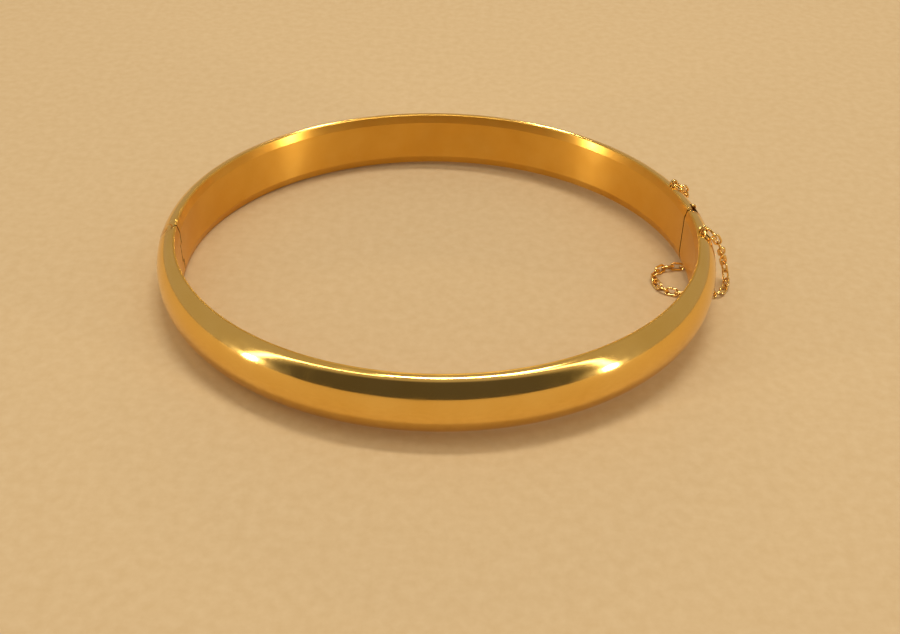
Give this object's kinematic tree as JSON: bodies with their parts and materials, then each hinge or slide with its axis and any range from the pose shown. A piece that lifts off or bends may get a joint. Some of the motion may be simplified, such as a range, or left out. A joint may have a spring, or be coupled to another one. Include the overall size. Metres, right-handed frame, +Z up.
{
  "type": "bangle bracelet",
  "caption": "Oval hinged bangle with a hollow half-round band, a pin hinge, a spring tongue clasp and a fine safety chain joining the two halves.",
  "frame": {"origin": "middle of the footprint, on the surface that the bangle lies on", "axes": "+X from the hinge to the clasp, +Y from the front half to the rear half, +Z up"},
  "size_m": [0.068, 0.0576, 0.0089],
  "materials": {
    "polished_gold": "polished yellow gold, lightly hazed by wear",
    "satin_gold": "yellow gold rubbed to a satin along its length",
    "chain_gold": "drawn yellow gold wire"
  },
  "bodies": {
    "rear_half": {"chain_link_19": "chain_gold", "chain_link_20": "chain_gold", "chain_link_21": "chain_gold", "chain_link_22": "chain_gold", "chain_link_23": "chain_gold", "chain_link_24": "chain_gold", "chain_link_25": "chain_gold", "chain_link_26": "chain_gold", "chain_link_27": "chain_gold", "chain_link_28": "chain_gold", "chain_link_29": "chain_gold", "chain_link_30": "chain_gold", "chain_link_31": "chain_gold", "chain_link_32": "chain_gold", "chain_link_33": "chain_gold", "chain_link_34": "chain_gold", "chain_link_35": "chain_gold", "chain_link_36": "chain_gold", "chain_link_37": "chain_gold", "chain_link_38": "chain_gold", "hinge_knuckle_middle": "polished_gold", "hinge_pin": "polished_gold", "rear_chain_eye": "polished_gold", "rear_clasp_mouth": "polished_gold", "rear_hinge_block": "polished_gold", "rear_inner_lining": "satin_gold", "rear_jump_ring": "chain_gold", "rear_outer_shell": "polished_gold"},
    "front_half": {"front_outer_shell": "polished_gold", "front_inner_lining": "satin_gold", "front_hinge_block": "polished_gold", "front_clasp_plate": "polished_gold", "hinge_knuckle_upper": "polished_gold", "hinge_knuckle_lower": "polished_gold", "tongue_base": "polished_gold", "front_chain_eye": "polished_gold", "front_jump_ring": "chain_gold", "chain_link_01": "chain_gold", "chain_link_02": "chain_gold", "chain_link_03": "chain_gold", "chain_link_04": "chain_gold", "chain_link_05": "chain_gold", "chain_link_06": "chain_gold", "chain_link_07": "chain_gold", "chain_link_08": "chain_gold", "chain_link_09": "chain_gold", "chain_link_10": "chain_gold", "chain_link_11": "chain_gold", "chain_link_12": "chain_gold", "chain_link_13": "chain_gold", "chain_link_14": "chain_gold", "chain_link_15": "chain_gold", "chain_link_16": "chain_gold", "chain_link_17": "chain_gold", "chain_link_18": "chain_gold"},
    "tongue_leaf": {"tongue_leaf": "polished_gold"}
  },
  "joints": [
    {"name": "clasp_hinge", "type": "hinge", "parent": "rear_half", "child": "front_half", "pos_m": [-0.03298, -0.00245, 0.00358], "axis": [0.0156, 0, -0.9999], "range_deg": [0, 32]},
    {"name": "tongue_press", "type": "hinge", "parent": "front_half", "child": "tongue_leaf", "pos_m": [0.02891, 0.00822, 0.0043], "axis": [0.9918, 0.1265, 0.0154], "range_deg": [0, 9.5], "stiffness_Nm_per_rad": 0.01}
  ]
}
